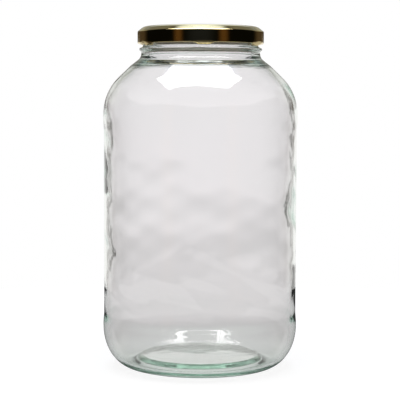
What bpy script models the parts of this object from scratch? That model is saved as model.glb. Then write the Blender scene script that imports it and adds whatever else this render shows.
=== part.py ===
"""A large preserving jar of clear glass with a gold lacquered twist-off lid.

Metres, +Z up. The origin is the centre of the ring that the jar stands on, and -Y is its front.
Both pieces are turned about the Z axis: a half section is carried round, and the turned blank is
then moulded (thread ridges on the glass) or pressed (lugs on the lid) by moving its points.
"""
import math

import bmesh
import bpy

# Body of the glass
BULGE_RADIUS = 0.0801
PANEL_RADIUS = 0.0795
PANEL_TOP = 0.1965
PANEL_BOTTOM = 0.0450
PANEL_STEP_HEIGHT = 0.0070
PANEL_ROUNDING = 0.030
WALL = 0.0032

# Shoulder: a cone that eases off towards the neck, and inside it a shallow ledge round the neck
SHOULDER_SLOPE = math.radians(44)
SHOULDER_FOOT = 0.2265
SHOULDER_ROUNDING = 0.042
SHOULDER_WALL = 0.0034
NECK_SLOPE = math.radians(38)
NECK_SLOPE_RADIUS = 0.0574
NECK_SLOPE_ROUNDING = 0.004
NECK_RADIUS = 0.0488
NECK_ROUNDING = 0.0064
NECK_INNER_RADIUS = 0.0446
NECK_INNER_ROUNDING = 0.0025
NECK_FOOT_RADIUS = 0.0541
NECK_FOOT_HEIGHT = 0.2492
NECK_FOOT_ROUNDING = 0.008

# Heel, standing ring and raised bottom, with a moat round the floor inside
STANDING_OUTER_RADIUS = 0.0550
STANDING_INNER_RADIUS = 0.0525
HEEL_HEIGHT = 0.0340
PUSH_UP_RADIUS = 0.0498
PUSH_UP_STEP = 0.0040
PUSH_UP_TOP = 0.0052
PUSH_UP_ROUNDING = 0.0015
FLOOR_RADIUS = 0.0490
FLOOR_HEIGHT = 0.0100
FLOOR_TOP = 0.0108
FLOOR_ROUNDING = 0.008
MOAT_RADIUS = 0.0590
MOAT_WIDTH = 0.0020
MOAT_HEIGHT = 0.0050
MOAT_ROUNDING = 0.004

# Finish of the mouth: rim, thread and transfer bead
RIM_TOP = 0.2785
RIM_OUTER_RADIUS = 0.0474
RIM_INNER_RADIUS = 0.0440
RIM_ROUNDING = 0.0012
BEAD_RADIUS = 0.0504
BEAD_HEIGHT = 0.2617
BEAD_THICKNESS = 0.0016
BEAD_FOOT_TOP = 0.2641
BEAD_FOOT_BOTTOM = 0.2597
THREAD_HEIGHT = 0.2692
THREAD_DEPTH = 0.0017
THREAD_HALF_ROOT = 0.0014
THREAD_HALF_CREST = 0.0005
THREAD_FALL = 0.0016
THREAD_BEFORE_LUG = math.radians(12)
THREAD_AFTER_LUG = math.radians(34)
THREAD_RUN_OUT = math.radians(6)
THREAD_ROOT_MARGIN = 1e-6

# Lid
LID_RADIUS = 0.05185
LID_TOP = 0.2805
LID_CREST_ROUNDING = 0.0075
LID_SLOPE_RADIUS = 0.0466
LID_SHOULDER_FOOT = 0.2763
LID_SHOULDER_ROUNDING = 0.0012
LID_BOTTOM = 0.2661
LID_SHEET = 0.0005
LID_PANEL_RADIUS = 0.0400
LID_PANEL_STEP_WIDTH = 0.0014
LID_PANEL_DEPTH = 0.0010
LID_SEAL_HEIGHT = 0.2788
LID_SEAL_RADIUS = 0.0477
LID_SEAL_FOOT = 0.2757
CURL_DIAMETER = 0.0022
CURL_ROUNDING = 0.0010
CURL_TUCK = 0.0003
LUG_COUNT = 6
LUG_TOP = 0.2676
LUG_REACH = 0.0018
LUG_DROP = 0.0020
LUG_HALF_WIDTH = math.radians(10.5)
LUG_FLAT_SHARE = 0.375

# The front lug stands a little right of the middle of the front
FRONT_ANGLE = math.radians(-90)
FRONT_LUG_ANGLE = FRONT_ANGLE + math.radians(3)
LUG_PITCH = math.tau / LUG_COUNT

GLASS_STEPS = 60
LID_STEPS = 72
SHARP_ANGLE = math.radians(32)


def corner_arc(before, corner, after, rounding, pieces):
    """Points of the arc of that radius that touches both straight lines meeting at a corner."""
    to_before = math.atan2(before[1] - corner[1], before[0] - corner[0])
    to_after = math.atan2(after[1] - corner[1], after[0] - corner[0])
    opening = math.remainder(to_after - to_before, math.tau)
    middle = to_before + opening / 2
    reach = rounding / math.sin(abs(opening) / 2)
    centre = (corner[0] + reach * math.cos(middle), corner[1] + reach * math.sin(middle))
    side = math.copysign(math.pi / 2, opening)
    start = to_before - side
    turn = math.remainder(to_after + side - start, math.tau)
    angles = [start + turn * step / pieces for step in range(pieces + 1)]
    return [(centre[0] + rounding * math.cos(a), centre[1] + rounding * math.sin(a)) for a in angles]


def rounded_line(corners):
    """Points of a line through (radius, height, rounding, pieces) corners, its ends left sharp."""
    points = [corners[0][:2]]
    for before, corner, after in zip(corners, corners[1:], corners[2:]):
        if corner[2]:
            points += corner_arc(before, corner, after, corner[2], corner[3])
        else:
            points.append(corner[:2])
    points.append(corners[-1][:2])
    return points


def quarter_ellipse(centre, side_radius, end_height, pieces):
    """Points of an ellipse from its side, level with its centre, to its lowest or highest point."""
    half_width = side_radius - centre[0]
    half_height = end_height - centre[1]
    angles = [math.pi / 2 * step / pieces for step in range(pieces + 1)]
    return [(centre[0] + half_width * math.cos(a), centre[1] + half_height * math.sin(a)) for a in angles]


def turned(name, section, first_angle, steps, moved, material):
    """Object of a half section that runs down its outer side, its ends on the axis, carried round it."""
    shell = bmesh.new()
    rings = []
    for radius, height in section:
        if radius == 0:
            rings.append([shell.verts.new((0, 0, height))] * steps)
            continue
        ring = []
        for step in range(steps):
            angle = first_angle + math.tau * step / steps
            r, z = moved(radius, height, angle)
            ring.append(shell.verts.new((r * math.cos(angle), r * math.sin(angle), z)))
        rings.append(ring)
    for upper, lower in zip(rings, rings[1:]):
        for step in range(steps):
            around = (step + 1) % steps
            corners = [upper[step], lower[step], lower[around], upper[around]]
            shell.faces.new(dict.fromkeys(corners))
    mesh = bpy.data.meshes.new(name)
    shell.to_mesh(mesh)
    shell.free()
    mesh.shade_smooth()
    mesh.set_sharp_from_angle(angle=SHARP_ANGLE)
    mesh.materials.append(material)
    piece = bpy.data.objects.new(name, mesh)
    bpy.context.scene.collection.objects.link(piece)
    return piece


def finish(name, colour, roughness, metallic, transmission=0.0, ior=1.5):
    """Material of one plain colour."""
    material = bpy.data.materials.new(name)
    material.use_nodes = True
    shader = material.node_tree.nodes["Principled BSDF"]
    shader.inputs["Base Color"].default_value = (*colour, 1.0)
    shader.inputs["Roughness"].default_value = roughness
    shader.inputs["Metallic"].default_value = metallic
    shader.inputs["Transmission Weight"].default_value = transmission
    shader.inputs["IOR"].default_value = ior
    material.diffuse_color = (*colour, 1.0)
    return material


def shoulder_height(radius, inset=0.0):
    """Height of the shoulder's cone at a radius, or of the same cone moved into the glass."""
    rise = (BULGE_RADIUS - radius) * math.tan(SHOULDER_SLOPE)
    return SHOULDER_FOOT + rise - inset / math.cos(SHOULDER_SLOPE)


def glass_inside():
    """Inner half section, from the middle of the floor up to the rim."""
    inner_radius = PANEL_RADIUS - WALL
    floor = rounded_line([
        (0.0, FLOOR_TOP, 0, 0),
        (FLOOR_RADIUS, FLOOR_HEIGHT, FLOOR_ROUNDING, 2),
        (MOAT_RADIUS - MOAT_WIDTH, MOAT_HEIGHT, MOAT_ROUNDING, 2),
        (MOAT_RADIUS, MOAT_HEIGHT, 0, 0),
    ])
    heel = quarter_ellipse((MOAT_RADIUS, HEEL_HEIGHT), inner_radius, MOAT_HEIGHT, 6)
    wall = rounded_line([
        (inner_radius, HEEL_HEIGHT, 0, 0),
        (inner_radius, shoulder_height(inner_radius, SHOULDER_WALL), SHOULDER_ROUNDING - WALL, 6),
        (NECK_FOOT_RADIUS, shoulder_height(NECK_FOOT_RADIUS, SHOULDER_WALL), NECK_FOOT_ROUNDING, 2),
        (NECK_INNER_RADIUS, NECK_FOOT_HEIGHT, NECK_INNER_ROUNDING, 2),
        (NECK_INNER_RADIUS, BEAD_HEIGHT, 0, 0),
        (RIM_INNER_RADIUS, THREAD_HEIGHT, 0, 0),
        (RIM_INNER_RADIUS, RIM_TOP, RIM_ROUNDING, 2),
        (RIM_OUTER_RADIUS, RIM_TOP, 0, 0),
    ])
    return floor + heel[-2::-1] + wall[1:-1]


def glass_outside():
    """Outer half section, from the rim down to the middle of the underside."""
    slope_height = shoulder_height(NECK_SLOPE_RADIUS)
    neck_height = slope_height + (NECK_SLOPE_RADIUS - NECK_RADIUS) * math.tan(NECK_SLOPE)
    mouth = rounded_line([
        (RIM_INNER_RADIUS, RIM_TOP, 0, 0),
        (RIM_OUTER_RADIUS, RIM_TOP, RIM_ROUNDING, 2),
        (RIM_OUTER_RADIUS, THREAD_HEIGHT + THREAD_HALF_ROOT, 0, 0),
        (RIM_OUTER_RADIUS, THREAD_HEIGHT + THREAD_HALF_CREST, 0, 0),
        (RIM_OUTER_RADIUS, THREAD_HEIGHT - THREAD_HALF_CREST, 0, 0),
        (RIM_OUTER_RADIUS, THREAD_HEIGHT - THREAD_HALF_ROOT, 0, 0),
        (RIM_OUTER_RADIUS, BEAD_FOOT_TOP, 0, 0),
        (BEAD_RADIUS, BEAD_HEIGHT + BEAD_THICKNESS / 2, BEAD_THICKNESS / 2, 2),
        (BEAD_RADIUS, BEAD_HEIGHT - BEAD_THICKNESS / 2, BEAD_THICKNESS / 2, 2),
        (NECK_RADIUS, BEAD_FOOT_BOTTOM, 0, 0),
        (NECK_RADIUS, neck_height, NECK_ROUNDING, 3),
        (NECK_SLOPE_RADIUS, slope_height, NECK_SLOPE_ROUNDING, 1),
        (BULGE_RADIUS, SHOULDER_FOOT, SHOULDER_ROUNDING, 8),
        (BULGE_RADIUS, PANEL_TOP + PANEL_STEP_HEIGHT, PANEL_ROUNDING, 1),
        (PANEL_RADIUS, PANEL_TOP, PANEL_ROUNDING, 1),
        (PANEL_RADIUS, PANEL_BOTTOM, PANEL_ROUNDING, 1),
        (BULGE_RADIUS, PANEL_BOTTOM - PANEL_STEP_HEIGHT, PANEL_ROUNDING, 1),
        (BULGE_RADIUS, HEEL_HEIGHT, 0, 0),
    ])
    heel = quarter_ellipse((STANDING_OUTER_RADIUS, HEEL_HEIGHT), BULGE_RADIUS, 0.0, 9)
    push_up = rounded_line([
        (STANDING_OUTER_RADIUS, 0.0, 0, 0),
        (STANDING_INNER_RADIUS, 0.0, PUSH_UP_ROUNDING, 2),
        (PUSH_UP_RADIUS, PUSH_UP_STEP, PUSH_UP_ROUNDING, 2),
        (0.0, PUSH_UP_TOP, 0, 0),
    ])
    return mouth[1:-1] + heel + push_up[1:]


def from_lug(angle):
    """Angle from the nearest lug, positive anticlockwise seen from above."""
    return math.remainder(angle - FRONT_LUG_ANGLE, LUG_PITCH)


def moulded_thread(radius, height, angle):
    """Raises six short thread ridges on the mouth, each falling clockwise towards its closed lug."""
    off_centre = height - THREAD_HEIGHT
    if radius != RIM_OUTER_RADIUS or abs(off_centre) > THREAD_HALF_ROOT + THREAD_ROOT_MARGIN:
        return radius, height
    along = from_lug(angle)
    length = THREAD_BEFORE_LUG + THREAD_AFTER_LUG
    inside_end = min(along + THREAD_BEFORE_LUG, THREAD_AFTER_LUG - along)
    swell = min(max(inside_end / THREAD_RUN_OUT, 0), 1)
    lift = THREAD_FALL * min(max(along / length, -0.5), 0.75)
    on_crest = abs(off_centre) < THREAD_HALF_ROOT - THREAD_ROOT_MARGIN
    crest = THREAD_DEPTH * swell if on_crest else 0
    return radius + crest, height + lift


def lid_section():
    """Closed half section of the lid, from the middle of its top over the skirt to underneath."""
    inside = LID_RADIUS - LID_SHEET
    curl_inside = LID_RADIUS - CURL_DIAMETER
    curl_top = LID_BOTTOM + CURL_DIAMETER
    return rounded_line([
        (0.0, LID_TOP - LID_PANEL_DEPTH, 0, 0),
        (LID_PANEL_RADIUS, LID_TOP - LID_PANEL_DEPTH, 0, 0),
        (LID_PANEL_RADIUS + LID_PANEL_STEP_WIDTH, LID_TOP, 0, 0),
        (LID_SLOPE_RADIUS, LID_TOP, LID_CREST_ROUNDING, 3),
        (LID_RADIUS, LID_SHOULDER_FOOT, LID_SHOULDER_ROUNDING, 2),
        (LID_RADIUS, LUG_TOP, 0, 0),
        (LID_RADIUS, LID_BOTTOM, CURL_ROUNDING, 3),
        (curl_inside, LID_BOTTOM, CURL_ROUNDING, 3),
        (curl_inside, curl_top, CURL_ROUNDING, 2),
        (inside, curl_top + CURL_TUCK, 0, 0),
        (inside, LID_SEAL_FOOT, 0, 0),
        (LID_SEAL_RADIUS, LID_SEAL_HEIGHT, 0, 0),
        (LID_PANEL_RADIUS, LID_SEAL_HEIGHT, 0, 0),
        (0.0, LID_SEAL_HEIGHT, 0, 0),
    ])


def pressed_lug(radius, height, angle):
    """Pushes the rolled edge inwards and down over six short stretches, most in their flat middles."""
    nearness = max(0.0, 1 - abs(from_lug(angle)) / LUG_HALF_WIDTH)
    press = 0.5 - 0.5 * math.cos(math.pi * min(1.0, nearness / (1 - LUG_FLAT_SHARE)))
    depth = min(max((LUG_TOP - height) / (LUG_TOP - LID_BOTTOM), 0.0), 1.0)
    return radius - LUG_REACH * press * depth, height - LUG_DROP * press * depth


def build():
    """Clears the scene and makes the jar and its lid."""
    for leftover in list(bpy.data.objects):
        bpy.data.objects.remove(leftover, do_unlink=True)
    glass = finish("clear_glass", (0.90, 0.95, 0.92), 0.02, 0.0, transmission=1.0, ior=1.52)
    lacquer = finish("gold_lacquer", (0.62, 0.42, 0.14), 0.18, 1.0)
    turned("jar", glass_inside() + glass_outside(), FRONT_ANGLE, GLASS_STEPS, moulded_thread, glass)
    turned("lid", lid_section(), FRONT_LUG_ANGLE, LID_STEPS, pressed_lug, lacquer)


build()
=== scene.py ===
import math

import bpy
import numpy as np
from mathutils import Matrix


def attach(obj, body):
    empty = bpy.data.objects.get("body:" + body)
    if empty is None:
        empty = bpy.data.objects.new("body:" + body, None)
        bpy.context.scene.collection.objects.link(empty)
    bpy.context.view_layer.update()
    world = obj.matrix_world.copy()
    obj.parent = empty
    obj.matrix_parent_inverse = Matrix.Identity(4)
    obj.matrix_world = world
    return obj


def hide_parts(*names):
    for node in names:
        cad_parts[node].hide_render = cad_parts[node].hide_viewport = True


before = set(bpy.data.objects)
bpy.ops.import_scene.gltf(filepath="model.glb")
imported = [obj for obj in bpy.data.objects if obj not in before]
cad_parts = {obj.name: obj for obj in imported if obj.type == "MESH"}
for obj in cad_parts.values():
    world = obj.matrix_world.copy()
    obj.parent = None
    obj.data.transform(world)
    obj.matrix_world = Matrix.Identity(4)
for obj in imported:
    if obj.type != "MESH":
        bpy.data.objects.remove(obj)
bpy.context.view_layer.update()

# The glass. One blown piece of soda-lime glass: a heavy heel on a knurled standing ring, a straight
# panel between two slight bulges, a sloping shoulder, a transfer bead and six thread ridges. Its
# outside follows the mould, and its inside is a little wavy, where the blown glass ran unevenly.

BULGE_RADIUS = 0.0801
PANEL_RADIUS = 0.0795
PANEL_TOP = 0.1965
PANEL_BOTTOM = 0.0450
PANEL_STEP = 0.0070
PANEL_ROUNDING = 0.030
WALL = 0.0032
SHOULDER_SLOPE = math.radians(44)
SHOULDER_FOOT = 0.2265
SHOULDER_ROUNDING = 0.042
SHOULDER_WALL = 0.0034
NECK_SLOPE = math.radians(38)
NECK_SLOPE_RADIUS = 0.0574
NECK_SLOPE_ROUNDING = 0.004
NECK_RADIUS = 0.0488
NECK_ROUNDING = 0.0064
NECK_INNER_RADIUS = 0.0446
NECK_INNER_ROUNDING = 0.0025
NECK_FOOT_RADIUS = 0.0541
NECK_FOOT_HEIGHT = 0.2492
NECK_FOOT_ROUNDING = 0.008
STANDING_OUTER_RADIUS = 0.0550
STANDING_INNER_RADIUS = 0.0525
HEEL_HEIGHT = 0.0340
PUSH_UP_RADIUS = 0.0498
PUSH_UP_STEP = 0.0040
PUSH_UP_TOP = 0.0052
PUSH_UP_ROUNDING = 0.0015
FLOOR_RADIUS = 0.0490
FLOOR_HEIGHT = 0.0100
FLOOR_TOP = 0.0108
FLOOR_ROUNDING = 0.008
MOAT_RADIUS = 0.0590
MOAT_WIDTH = 0.0020
MOAT_HEIGHT = 0.0050
MOAT_ROUNDING = 0.004
RIM_TOP = 0.2785
RIM_OUTER_RADIUS = 0.0474
RIM_INNER_RADIUS = 0.0440
RIM_ROUNDING = 0.0012
BEAD_RADIUS = 0.0504
BEAD_HEIGHT = 0.2617
BEAD_THICKNESS = 0.0016
BEAD_FOOT_TOP = 0.2641
BEAD_FOOT_BOTTOM = 0.2597
THREAD_HEIGHT = 0.2692
THREAD_DEPTH = 0.0017
THREAD_HALF_WIDTH = 0.0014
THREAD_FALL = 0.0016
THREAD_BEFORE_LUG = math.radians(12)
THREAD_AFTER_LUG = math.radians(34)
THREAD_RUN_OUT = math.radians(6)
FRONT_LUG_ANGLE = math.radians(-87)
LUG_PITCH = math.tau / 6
KNURLS = 120
KNURL_DEPTH = 0.00035
KNURL_TOP = 0.0012
KNURL_FADE_IN = (0.0510, 0.0530)
KNURL_FADE_OUT = (0.0555, 0.0610)
WAVES_FADE_IN = (0.030, 0.065)
WAVES_FADE_OUT = (0.225, 0.250)
GLASS_COLUMNS = 480
WALL_SPACING = 0.0035
BOTTOM_SPACING = 0.0012
MOUTH_SPACING = 0.0005


def corner_arc(before, corner, after, rounding, spacing):
    """Arc that touches both straight lines at a corner: its centre lies on the line that halves the
    corner, at rounding / sin(half the opening), and it turns the short way from one line to the other."""
    before, corner, after = (np.array(p[:2], float) for p in (before, corner, after))
    start_side = (before - corner) / np.linalg.norm(before - corner)
    end_side = (after - corner) / np.linalg.norm(after - corner)
    half = math.acos(np.clip(start_side @ end_side, -1, 1)) / 2
    middle = (start_side + end_side) / np.linalg.norm(start_side + end_side)
    centre = corner + middle * rounding / math.sin(half)
    first = corner + start_side * rounding / math.tan(half) - centre
    last = corner + end_side * rounding / math.tan(half) - centre
    begin = math.atan2(first[1], first[0])
    turn = math.remainder(math.atan2(last[1], last[0]) - begin, math.tau)
    pieces = max(3, math.ceil(abs(turn) * rounding / spacing))
    angles = begin + turn * np.linspace(0, 1, pieces + 1)
    return centre + rounding * np.column_stack([np.cos(angles), np.sin(angles)])


def rounded_line(corners, spacing):
    """Line through (radius, height, rounding) corners: each corner with a rounding is an arc, and every
    stretch longer than the spacing is divided evenly."""
    stops = [np.array([corners[0][:2]], float)]
    for before, corner, after in zip(corners, corners[1:], corners[2:]):
        sharp = np.array([corner[:2]], float)
        stops.append(corner_arc(before, corner, after, corner[2], spacing) if corner[2] else sharp)
    stops.append(np.array([corners[-1][:2]], float))
    points = np.concatenate(stops)
    pieces = np.maximum(1, np.ceil(np.linalg.norm(np.diff(points, axis=0), axis=1) / spacing)).astype(int)
    start = np.repeat(np.arange(len(pieces)), pieces)
    share = (np.arange(len(start)) - np.repeat(np.cumsum(pieces) - pieces, pieces)) / pieces[start]
    between = points[start] + (points[start + 1] - points[start]) * share[:, None]
    return np.concatenate([between, points[-1:]])


def quarter_ellipse(centre, side_radius, end_height, pieces):
    """Ellipse from its side to its lowest or highest point: radius goes with the cosine and height with
    the sine of an angle that runs from 0 to a right angle."""
    angle = np.linspace(0, math.pi / 2, pieces + 1)
    return np.column_stack([centre[0] + (side_radius - centre[0]) * np.cos(angle),
                            centre[1] + (end_height - centre[1]) * np.sin(angle)])


def smooth(low, high, value):
    """0 below low, 1 above high and 3t**2 - 2t**3 between them."""
    t = np.clip((value - low) / (high - low), 0, 1)
    return t * t * (3 - 2 * t)


def turned(name, radius, height):
    """Closed mesh of a half section carried round the Z axis: row i, column j lies at the angle
    tau * j / columns, and the first and last rows are single points on the axis."""
    rows, columns = radius.shape
    angle = math.tau * np.arange(columns) / columns
    ring = np.stack([radius * np.cos(angle), radius * np.sin(angle), height], axis=-1)
    points = np.concatenate([ring[:1, 0], ring[1:-1].reshape(-1, 3), ring[-1:, 0]])
    here = 1 + np.arange((rows - 3) * columns).reshape(rows - 3, columns)
    quads = np.stack([here, here + columns, np.roll(here, -1, 1) + columns, np.roll(here, -1, 1)], -1)
    first = 1 + np.arange(columns)
    last = first + (rows - 3) * columns
    start_fan = np.stack([np.zeros(columns, int), first, np.roll(first, -1)], -1)
    end_fan = np.stack([np.full(columns, len(points) - 1), np.roll(last, -1), last], -1)
    faces = start_fan.tolist() + quads.reshape(-1, 4).tolist() + end_fan.tolist()
    mesh = bpy.data.meshes.new(name)
    mesh.from_pydata(points.tolist(), [], faces)
    mesh.shade_smooth()
    piece = bpy.data.objects.new(name, mesh)
    bpy.context.scene.collection.objects.link(piece)
    return piece


def shoulder_height(radius, inset=0.0):
    """Height of the shoulder's cone at a radius, or of the cone moved into the glass by the inset."""
    rise = (BULGE_RADIUS - radius) * math.tan(SHOULDER_SLOPE)
    return SHOULDER_FOOT + rise - inset / math.cos(SHOULDER_SLOPE)


def glass_inside():
    """Inner half section from the middle of the floor, up the heel, wall and neck, to the rim."""
    inner_radius = PANEL_RADIUS - WALL
    floor = rounded_line([
        (0.0, FLOOR_TOP, 0),
        (FLOOR_RADIUS, FLOOR_HEIGHT, FLOOR_ROUNDING),
        (MOAT_RADIUS - MOAT_WIDTH, MOAT_HEIGHT, MOAT_ROUNDING),
        (MOAT_RADIUS, MOAT_HEIGHT, 0),
    ], BOTTOM_SPACING)
    heel = quarter_ellipse((MOAT_RADIUS, HEEL_HEIGHT), inner_radius, MOAT_HEIGHT, 26)
    wall = rounded_line([
        (inner_radius, HEEL_HEIGHT, 0),
        (inner_radius, shoulder_height(inner_radius, SHOULDER_WALL), SHOULDER_ROUNDING - WALL),
        (NECK_FOOT_RADIUS, shoulder_height(NECK_FOOT_RADIUS, SHOULDER_WALL), NECK_FOOT_ROUNDING),
        (NECK_INNER_RADIUS, NECK_FOOT_HEIGHT, NECK_INNER_ROUNDING),
        (NECK_INNER_RADIUS, BEAD_HEIGHT, 0),
        (RIM_INNER_RADIUS, THREAD_HEIGHT, 0),
        (RIM_INNER_RADIUS, RIM_TOP, RIM_ROUNDING),
        (RIM_OUTER_RADIUS - RIM_ROUNDING, RIM_TOP, 0),
    ], WALL_SPACING)
    return np.concatenate([floor, heel[-2::-1], wall[1:]])


def glass_outside():
    """Outer half section from the rim down the thread, bead, shoulder, panel and heel to underneath."""
    slope_height = shoulder_height(NECK_SLOPE_RADIUS)
    neck_height = slope_height + (NECK_SLOPE_RADIUS - NECK_RADIUS) * math.tan(NECK_SLOPE)
    mouth = rounded_line([
        (RIM_INNER_RADIUS, RIM_TOP, 0),
        (RIM_OUTER_RADIUS, RIM_TOP, RIM_ROUNDING),
        (RIM_OUTER_RADIUS, BEAD_FOOT_TOP, 0.0006),
        (BEAD_RADIUS, BEAD_HEIGHT + BEAD_THICKNESS / 2, BEAD_THICKNESS / 2),
        (BEAD_RADIUS, BEAD_HEIGHT - BEAD_THICKNESS / 2, BEAD_THICKNESS / 2),
        (NECK_RADIUS, BEAD_FOOT_BOTTOM, 0.0005),
        (NECK_RADIUS, neck_height, 0),
    ], MOUTH_SPACING)
    body = rounded_line([
        (NECK_RADIUS, BEAD_FOOT_BOTTOM - 0.0001, 0),
        (NECK_RADIUS, neck_height, NECK_ROUNDING),
        (NECK_SLOPE_RADIUS, slope_height, NECK_SLOPE_ROUNDING),
        (BULGE_RADIUS, SHOULDER_FOOT, SHOULDER_ROUNDING),
        (BULGE_RADIUS, PANEL_TOP + PANEL_STEP, PANEL_ROUNDING),
        (PANEL_RADIUS, PANEL_TOP, PANEL_ROUNDING),
        (PANEL_RADIUS, PANEL_BOTTOM, PANEL_ROUNDING),
        (BULGE_RADIUS, PANEL_BOTTOM - PANEL_STEP, PANEL_ROUNDING),
        (BULGE_RADIUS, HEEL_HEIGHT, 0),
    ], WALL_SPACING)
    heel = quarter_ellipse((STANDING_OUTER_RADIUS, HEEL_HEIGHT), BULGE_RADIUS, 0.0, 24)
    push_up = rounded_line([
        (STANDING_OUTER_RADIUS, 0.0, 0),
        (STANDING_INNER_RADIUS, 0.0, PUSH_UP_ROUNDING),
        (PUSH_UP_RADIUS, PUSH_UP_STEP, PUSH_UP_ROUNDING),
        (0.0, PUSH_UP_TOP, 0),
    ], BOTTOM_SPACING)
    upper = mouth[mouth[:, 0] >= RIM_OUTER_RADIUS - RIM_ROUNDING - 1e-6]
    upper = upper[upper[:, 1] > BEAD_FOOT_BOTTOM - 0.00005]
    return np.concatenate([upper[1:], body, heel[1:], push_up[1:]])


inside = glass_inside()
outside = glass_outside()
section = np.concatenate([inside, outside])
glass_angle = (math.tau * np.arange(GLASS_COLUMNS) / GLASS_COLUMNS)[None, :]
radius = np.repeat(section[:, :1], GLASS_COLUMNS, axis=1)
height = np.repeat(section[:, 1:], GLASS_COLUMNS, axis=1)
is_inside = np.arange(len(section))[:, None] < len(inside)

# Waves of the inner wall, fading out at the floor and at the neck
in_body = smooth(*WAVES_FADE_IN, height) * (1 - smooth(*WAVES_FADE_OUT, height))
waves = (0.00030 * np.sin(2 * glass_angle + 31 * height + 0.4)
         + 0.00022 * np.sin(3 * glass_angle - 74 * height + 2.1)
         + 0.00010 * np.sin(5 * glass_angle + 128 * height + 1.0)
         + 0.00007 * np.sin(187 * height + 1.3 * np.sin(glass_angle))
         + 0.00006 * np.sin(11 * glass_angle + 300 * height))
radius = radius + np.where(is_inside, waves * in_body, 0)

# Thread ridges: a rounded bump across, a straight run along with tapered ends
from_lug = (glass_angle - FRONT_LUG_ANGLE + LUG_PITCH / 2) % LUG_PITCH - LUG_PITCH / 2
ridge_height = THREAD_HEIGHT + THREAD_FALL * from_lug / (THREAD_BEFORE_LUG + THREAD_AFTER_LUG)
ridge_end = np.minimum(from_lug + THREAD_BEFORE_LUG, THREAD_AFTER_LUG - from_lug)
across = np.clip(1 - np.abs(height - ridge_height) / THREAD_HALF_WIDTH, 0, 1)
on_mouth = ~is_inside & (np.abs(radius - RIM_OUTER_RADIUS) < 1e-5)
ridge = THREAD_DEPTH * np.minimum(1, 1.6 * across) * np.clip(ridge_end / THREAD_RUN_OUT, 0, 1)
radius = radius + np.where(on_mouth, ridge, 0)

# Knurls pressed into the standing ring, so that the jar stands on their tops
on_ring = ~is_inside & (height < KNURL_TOP) & (radius > STANDING_INNER_RADIUS - 0.0001)
dent = KNURL_DEPTH * (0.5 + 0.5 * np.cos(KNURLS * glass_angle))
ring_share = smooth(*KNURL_FADE_IN, radius) * (1 - smooth(*KNURL_FADE_OUT, radius))
height = height + np.where(on_ring, dent * ring_share, 0)

jar = turned("glass_jar", radius, height)


class Wire:
    """An output in a material's nodes. Arithmetic on wires and numbers adds Math nodes."""

    def __init__(self, tree, socket=None):
        self.tree = tree
        self.socket = socket

    def node(self, kind, settings, inputs, output=0):
        """Adds a node, sets it up, fills or links its inputs, and gives the wire of one output."""
        made = self.tree.nodes.new(kind)
        for name, value in settings.items():
            setattr(made, name, value)
        for name, value in inputs.items():
            if isinstance(value, Wire):
                self.tree.links.new(value.socket, made.inputs[name])
            else:
                made.inputs[name].default_value = value
        return Wire(self.tree, made.outputs[output] if len(made.outputs) else None)

    def math(self, operation, first, second=0.0):
        return self.node("ShaderNodeMath", {"operation": operation}, {0: first, 1: second})

    def __add__(self, other):
        return self.math("ADD", self, other)

    def __radd__(self, other):
        return self.math("ADD", other, self)

    def __sub__(self, other):
        return self.math("SUBTRACT", self, other)

    def __rsub__(self, other):
        return self.math("SUBTRACT", other, self)

    def __mul__(self, other):
        return self.math("MULTIPLY", self, other)

    def __rmul__(self, other):
        return self.math("MULTIPLY", other, self)

    def __truediv__(self, other):
        return self.math("DIVIDE", self, other)

    def ramp(self, low, high, from_value=0.0, to_value=1.0):
        """Smooth step of the wire from one value at low to another at high."""
        settings = {"interpolation_type": "SMOOTHSTEP"}
        return self.node("ShaderNodeMapRange", settings, {"Value": self, "From Min": low, "From Max": high,
                                                          "To Min": from_value, "To Max": to_value})

    def mixed(self, first, second):
        """Mix of two colours by this wire."""
        return self.node("ShaderNodeMix", {"data_type": "RGBA"}, {0: self, 6: first, 7: second}, 2)

    def noise(self, place, scale, detail=2.0):
        return self.node("ShaderNodeTexNoise", {}, {"Vector": place, "Scale": scale, "Detail": detail})


def new_material(name):
    """Material with only its output, and a wire to build it with."""
    material = bpy.data.materials.new(name)
    material.use_nodes = True
    material.node_tree.nodes.clear()
    return material, Wire(material.node_tree)


def object_place(graph):
    """Wire of the object's own coordinates."""
    return graph.node("ShaderNodeTexCoord", {}, {}, "Object")


def clear_glass():
    """Soda-lime glass: faint green in its depth, with soft ripples, and painted shade that makes its base
    colour slightly greyer low down.
    """
    material, graph = new_material("clear_glass")
    place = object_place(graph)
    z = graph.node("ShaderNodeSeparateXYZ", {}, {"Vector": place}, "Z")
    # Painted shade: the base colour greys from the shoulder down towards the heel, standing in for shade
    # low in the body; the greener bottom below is the tint of the thick glass.
    wall = z.ramp(0.24, 0.02).mixed((1.0, 0.975, 0.988, 1), (0.985, 0.962, 0.970, 1))
    tint_and_painted_shade = z.ramp(0.028, 0.006).mixed(wall, (0.970, 0.988, 0.975, 1))
    streaks = graph.node("ShaderNodeMapping", {}, {"Vector": place, "Scale": (1.0, 1.0, 0.22)})
    ripple = graph.noise(streaks, 42.0) * 0.7 + graph.noise(place, 190.0) * 0.12
    bump = graph.node("ShaderNodeBump", {}, {"Height": ripple, "Strength": 0.05, "Distance": 0.004})
    haze = graph.noise(place, 60.0).ramp(0.35, 0.75, 0.0, 0.035)
    surface = graph.node("ShaderNodeBsdfPrincipled", {}, {
        "Base Color": tint_and_painted_shade, "Roughness": haze, "IOR": 1.52, "Transmission Weight": 1.0, "Normal": bump})
    depth = graph.node("ShaderNodeVolumeAbsorption", {}, {"Color": (0.55, 0.80, 0.69, 1), "Density": 14.0})
    graph.node("ShaderNodeOutputMaterial", {}, {"Surface": surface, "Volume": depth})
    return material


jar.data.materials.append(clear_glass())
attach(jar, "root")
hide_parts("jar")

# The lid. Thin tinplate, pressed, lacquered gold outside and cream inside, with a sealing ring
# flowed into its rim channel. Its edge is rolled inwards, and six short stretches of the roll are
# pressed in and down as lugs, which grip under the thread ridges of the glass.

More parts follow.
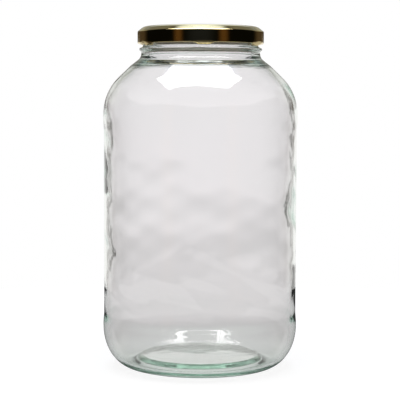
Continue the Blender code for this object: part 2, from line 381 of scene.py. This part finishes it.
LID_RADIUS = 0.05185
LID_TOP = 0.2805
LID_CREST_RADIUS = 0.0434
LID_CREST_ROUNDING = 0.0075
LID_SLOPE_RADIUS = 0.0466
LID_SHOULDER_FOOT = 0.2763
LID_SHOULDER_ROUNDING = 0.0012
LID_BOTTOM = 0.2661
LID_SHEET = 0.0005
LID_PANEL_RADIUS = 0.0400
LID_PANEL_STEP_WIDTH = 0.0014
LID_PANEL_DEPTH = 0.0010
LID_SEAL_HEIGHT = 0.2788
LID_SEAL_RADIUS = 0.0477
LID_SEAL_FOOT = 0.2757
CURL_DIAMETER = 0.0022
CURL_ROUNDING = 0.0010
CURL_TUCK = 0.0003
LUG_TOP = 0.2676
LUG_REACH = 0.0018
LUG_DROP = 0.0020
LUG_HALF_WIDTH = math.radians(10.5)
LUG_FLAT_SHARE = 0.375
LID_PANEL_ROUNDING = 0.0012
LID_INNER_ROUNDING = 0.0006
LID_COLUMNS = 480
LINING_STARTS_AFTER = 6


def lid_outer_section():
    """Half section from the middle of the lid's top, over its shoulder, down the skirt to the roll."""
    panel_height = LID_TOP - LID_PANEL_DEPTH
    crown = rounded_line([
        (0.0, panel_height, 0),
        (LID_PANEL_RADIUS, panel_height, LID_PANEL_ROUNDING),
        (LID_PANEL_RADIUS + LID_PANEL_STEP_WIDTH, LID_TOP, LID_PANEL_ROUNDING),
        (LID_CREST_RADIUS, LID_TOP, 0),
    ], 0.0012)
    skirt = rounded_line([
        (LID_CREST_RADIUS, LID_TOP, 0),
        (LID_SLOPE_RADIUS, LID_TOP, LID_CREST_ROUNDING),
        (LID_RADIUS, LID_SHOULDER_FOOT, LID_SHOULDER_ROUNDING),
        (LID_RADIUS, LID_BOTTOM, CURL_ROUNDING),
        (LID_RADIUS - CURL_DIAMETER / 2, LID_BOTTOM, 0),
    ], 0.0003)
    return np.concatenate([crown[:-1], skirt])


def lid_inner_section():
    """Half section from the bottom of the roll, over its inner side and up to the middle underneath."""
    inside_radius = LID_RADIUS - LID_SHEET
    curl_inside = LID_RADIUS - CURL_DIAMETER
    curl_top = LID_BOTTOM + CURL_DIAMETER
    return rounded_line([
        (LID_RADIUS - CURL_DIAMETER / 2, LID_BOTTOM, 0),
        (curl_inside, LID_BOTTOM, CURL_ROUNDING),
        (curl_inside, curl_top, CURL_ROUNDING),
        (inside_radius, curl_top + CURL_TUCK, 0.0002),
        (inside_radius, LID_SEAL_FOOT, LID_INNER_ROUNDING),
        (LID_SEAL_RADIUS, LID_SEAL_HEIGHT, LID_INNER_ROUNDING),
        (LID_PANEL_RADIUS, LID_SEAL_HEIGHT, 0),
        (0.0, LID_SEAL_HEIGHT, 0),
    ], 0.0006)[1:]


lid_outer = lid_outer_section()
lid_inner = lid_inner_section()
section = np.concatenate([lid_outer, lid_inner])
radius = np.repeat(section[:, :1], LID_COLUMNS, axis=1)
height = np.repeat(section[:, 1:], LID_COLUMNS, axis=1)

# Lugs: the roll moves in and down, fully in the flat middle of each, less higher up the skirt
lid_angle = (math.tau * np.arange(LID_COLUMNS) / LID_COLUMNS)[None, :]
from_lug = (lid_angle - FRONT_LUG_ANGLE + LUG_PITCH / 2) % LUG_PITCH - LUG_PITCH / 2
nearness = np.clip(1 - np.abs(from_lug) / LUG_HALF_WIDTH, 0, 1)
press = 0.5 - 0.5 * np.cos(math.pi * np.minimum(1, nearness / (1 - LUG_FLAT_SHARE)))
depth = np.clip((LUG_TOP - height) / (LUG_TOP - LID_BOTTOM), 0, 1)
radius = radius - LUG_REACH * press * depth
height = height - LUG_DROP * press * depth

lid = turned("lid_tinplate", radius, height)

# How far each point belongs to the cream coated inside, kept on the mesh for the material
row_is_lined = np.arange(len(section)) >= len(lid_outer) + LINING_STARTS_AFTER
lined_rings = np.repeat(row_is_lined[1:-1], LID_COLUMNS)
per_point = np.concatenate([row_is_lined[:1], lined_rings, row_is_lined[-1:]])
lining = lid.data.attributes.new("lining", "FLOAT", "POINT")
lining.data.foreach_set("value", per_point.astype(np.float32))


def gold_lacquer():
    """Gold lacquered tinplate, glossy with fine rolling grain, and the cream coating of its inside."""
    material, graph = new_material("gold_lacquer")
    place = object_place(graph)
    inner = graph.node("ShaderNodeAttribute", {"attribute_name": "lining"}, {}, "Fac")
    cloud = graph.noise(place, 45.0, 4.0)
    drawn_out = graph.node("ShaderNodeMapping", {}, {"Vector": place, "Scale": (1.0, 0.03, 1.0)})
    grain = graph.noise(drawn_out, 900.0)
    gold = cloud.ramp(0.3, 0.7).mixed((0.72, 0.58, 0.29, 1), (0.80, 0.66, 0.35, 1))
    colour = inner.mixed(gold, (0.80, 0.78, 0.66, 1))
    gloss = 0.06 + 0.05 * cloud + 0.03 * grain + 0.30 * inner
    bump = graph.node("ShaderNodeBump", {}, {"Height": grain, "Strength": 0.04, "Distance": 0.0004})
    surface = graph.node("ShaderNodeBsdfPrincipled", {}, {
        "Base Color": colour, "Metallic": 1 - inner, "Roughness": gloss, "Normal": bump})
    graph.node("ShaderNodeOutputMaterial", {}, {"Surface": surface})
    return material


lid.data.materials.append(gold_lacquer())
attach(lid, "root")
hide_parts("lid")

# The table. A plain round white top with a faint shadow round the jar, partly real and partly a drawn
# gradient. Rays through the glass see it as a grey sweep with a painted shadow, darker near the jar,
# and mirrored rays see it nearly black.

TABLE_RADIUS = 0.5
TABLE_GAP = 0.0002

bpy.ops.mesh.primitive_circle_add(vertices=256, radius=TABLE_RADIUS, fill_type="NGON")
table = bpy.context.object
table.name = "table"
table.location.z = -TABLE_GAP

FLAG_PITCH = math.radians(45)
FLAG_OFFSET = math.radians(18)
FLAG_HALF_WIDTH = math.radians(1.9)
FLAG_EDGE = math.radians(1.5)


def between_flags(graph, x, y):
    """1 towards the pale backdrops, which stand at every eighth of a turn, and 0 towards the narrow
    black flags between them, by the direction's angle from the +Y axis."""
    turn = graph.math("ARCTAN2", x, y) / FLAG_PITCH + 0.5
    from_backdrop = graph.math("ABSOLUTE", graph.math("FRACT", turn + 16) - 0.5)
    off_flag = graph.math("ABSOLUTE", from_backdrop * FLAG_PITCH - FLAG_OFFSET)
    return off_flag.ramp(FLAG_HALF_WIDTH, FLAG_HALF_WIDTH + FLAG_EDGE)


def sweep_grey(graph, height):
    """Grey of the sweep by the height of the direction it is seen in, paler towards the horizon."""
    return height.ramp(-0.15, 0.0, 0.80, 1.10) + height.ramp(-0.05, 0.02, 0.0, 0.30)


def white_table():
    """White top for the camera, with a soft shadow; for the glass, the lower part of the sweep, with a
    painted shadow near the jar.
    """
    material, graph = new_material("white_table")
    away = graph.node("ShaderNodeVectorMath", {"operation": "LENGTH"}, {0: object_place(graph)}, "Value")
    top = graph.node("ShaderNodeBsdfDiffuse", {}, {"Color": (0.15, 0.15, 0.15, 1)})
    paler = away.ramp(0.1, 0.4, 0.90, 1.0)
    lift = graph.node("ShaderNodeEmission", {}, {"Color": (1, 1, 1, 1), "Strength": paler})
    white = graph.node("ShaderNodeAddShader", {}, {0: top, 1: lift})
    # Painted shadow: the sweep seen through the glass is darker within about 0.3 m of the jar, darkest at
    # 0.17 to 0.2 m, and a little lighter again right under it.
    grey = away.ramp(0.20, 0.30, 0.66, 0.80) + away.ramp(0.17, 0.11, 0.0, 0.06)
    sweep = graph.node("ShaderNodeEmission", {}, {"Color": (1, 1, 1, 1), "Strength": grey})
    mirrored = graph.node("ShaderNodeEmission", {}, {"Color": (1, 1, 1, 1), "Strength": 0.06})
    seen = graph.node("ShaderNodeLightPath", {}, {}, "Is Camera Ray")
    through = graph.node("ShaderNodeLightPath", {}, {}, "Is Transmission Ray")
    other = graph.node("ShaderNodeMixShader", {}, {0: through, 1: mirrored, 2: sweep})
    surface = graph.node("ShaderNodeMixShader", {}, {0: seen, 1: other, 2: white})
    graph.node("ShaderNodeOutputMaterial", {}, {"Surface": surface})
    return material


table.data.materials.append(white_table())

# The light. A rectangular softbox overhead. Through the glass a pale sweep shows on every side, with
# sixteen narrow black flags, which draw the dark edge lines; reflections see a dark room in front,
# with two dim warm strips.

SOFTBOX_WIDTH = 0.80
SOFTBOX_BACK = 0.10
SOFTBOX_FRONT = -0.35
SOFTBOX_HEIGHT = 0.90
SOFTBOX_RADIANCE = 6.5
FLAG_BLACK = (0.004, 0.005, 0.005, 1)
ROOM_DARK = (0.003, 0.003, 0.002, 1)
ROOM_FRONT = (0.012, 0.014, 0.019, 1)
WARM_STRIP = (0.100, 0.050, 0.016, 1)
WARM_STRIP_LEFT = math.radians(139)
WARM_STRIP_RIGHT = math.radians(138)
BACKDROP_FOOT = (0.070, 0.050, 0.030, 1)
BACKDROP_MIDDLE = (0.42, 0.43, 0.38, 1)
BACKDROP_TOP = (0.20, 0.21, 0.20, 1)
OVERHEAD_PANEL = (1.15, 1.35, 1.75, 1)
PALE_BEHIND = (0.95, 0.95, 0.93, 1)

softbox_depth = SOFTBOX_BACK - SOFTBOX_FRONT
softbox_data = bpy.data.lights.new("softbox", "AREA")
softbox_data.shape = "RECTANGLE"
softbox_data.size = SOFTBOX_WIDTH
softbox_data.size_y = softbox_depth
softbox_data.energy = SOFTBOX_RADIANCE * math.pi * SOFTBOX_WIDTH * softbox_depth
softbox = bpy.data.objects.new("softbox", softbox_data)
softbox.location = (-0.02, (SOFTBOX_BACK + SOFTBOX_FRONT) / 2, SOFTBOX_HEIGHT)
softbox.visible_camera = False
bpy.context.scene.collection.objects.link(softbox)


def studio():
    """World: white to the camera, the sweep and its flags through the glass, and mirrored a dark room
    with a pale backdrop behind, two warm strips in front and a bright panel overhead."""
    world = bpy.data.worlds.new("studio")
    world.use_nodes = True
    world.node_tree.nodes.clear()
    graph = Wire(world.node_tree)
    direction = graph.node("ShaderNodeTexCoord", {}, {}, "Generated")
    x, y, z = (graph.node("ShaderNodeSeparateXYZ", {}, {"Vector": direction}, axis) for axis in "XYZ")
    from_back = graph.math("ARCTAN2", x, y)
    flags = between_flags(graph, x, y)
    sweep = (sweep_grey(graph, z) * flags).mixed(FLAG_BLACK, (1.0, 1.0, 1.0, 1))
    off_back = graph.math("ABSOLUTE", from_back)
    refracted = graph.node("ShaderNodeLightPath", {}, {}, "Is Transmission Ray")
    above_table = graph.math("MAXIMUM", z.ramp(0.045, 0.025), refracted * z.ramp(0.35, 0.20))
    behind = off_back.ramp(math.radians(34), math.radians(28)) * above_table
    beside = off_back.ramp(math.radians(56), math.radians(46)) * z.ramp(0.02, -0.01) * 0.55
    behind = graph.math("MAXIMUM", behind, beside)
    dim = off_back.ramp(math.radians(70), math.radians(50)) * z.ramp(0.92, 0.80)
    off_left = graph.math("ABSOLUTE", from_back + WARM_STRIP_LEFT)
    left_strip = off_left.ramp(math.radians(12), math.radians(1))
    off_right = graph.math("ABSOLUTE", from_back - WARM_STRIP_RIGHT)
    right_strip = off_right.ramp(math.radians(13), math.radians(1))
    strips = (left_strip + right_strip) * z.ramp(0.5, 0.3)
    facing = off_back.ramp(math.radians(145), math.radians(172))
    room = facing.mixed(ROOM_DARK, ROOM_FRONT)
    room = strips.mixed(room, WARM_STRIP)
    backdrop = z.ramp(0.10, 0.20).mixed(BACKDROP_FOOT, BACKDROP_MIDDLE)
    backdrop = z.ramp(0.34, 0.46).mixed(backdrop, BACKDROP_TOP)
    room = dim.mixed(room, backdrop)
    column = off_back.ramp(math.radians(26), math.radians(8)) * z.ramp(0.40, 0.52)
    top = off_back.ramp(math.radians(90), math.radians(60)) * z.ramp(0.86, 0.92)
    panel = graph.math("MAXIMUM", column, top) * (1 - refracted)
    room = panel.mixed(room, OVERHEAD_PANEL)
    around = behind.mixed(room, PALE_BEHIND)
    seen = graph.node("ShaderNodeLightPath", {}, {}, "Is Camera Ray")
    unmirrored = graph.math("LESS_THAN", graph.node("ShaderNodeLightPath", {}, {}, "Glossy Depth"), 0.5)
    through = refracted * unmirrored
    colour = seen.mixed(through.mixed(around, sweep), (1, 1, 1, 1))
    sky = graph.node("ShaderNodeBackground", {}, {"Color": colour, "Strength": 1.0})
    graph.node("ShaderNodeOutputWorld", {}, {"Surface": sky})
    return world


scene = bpy.context.scene
scene.world = studio()
scene.view_settings.view_transform = "Standard"
scene.cycles.max_bounces = 40
scene.cycles.transmission_bounces = 40
scene.cycles.glossy_bounces = 24

# The camera. A long lens a little over a metre away, just below the lid's height, looking slightly
# down, rolled a fifth of a degree.

CAMERA_DISTANCE = 1.13
CAMERA_SIDE = -0.0004
CAMERA_HEIGHT = 0.222
CAMERA_TILT = math.radians(4.26)
CAMERA_ROLL = math.radians(-0.2)
CAMERA_LENS = 123.0

camera_data = bpy.data.cameras.new("camera")
camera_data.lens = CAMERA_LENS
camera_data.sensor_width = 36.0
camera = bpy.data.objects.new("camera", camera_data)
camera.location = (CAMERA_SIDE, -CAMERA_DISTANCE, CAMERA_HEIGHT)
camera.rotation_euler = (math.pi / 2 - CAMERA_TILT, CAMERA_ROLL, 0)
scene.collection.objects.link(camera)
scene.camera = camera
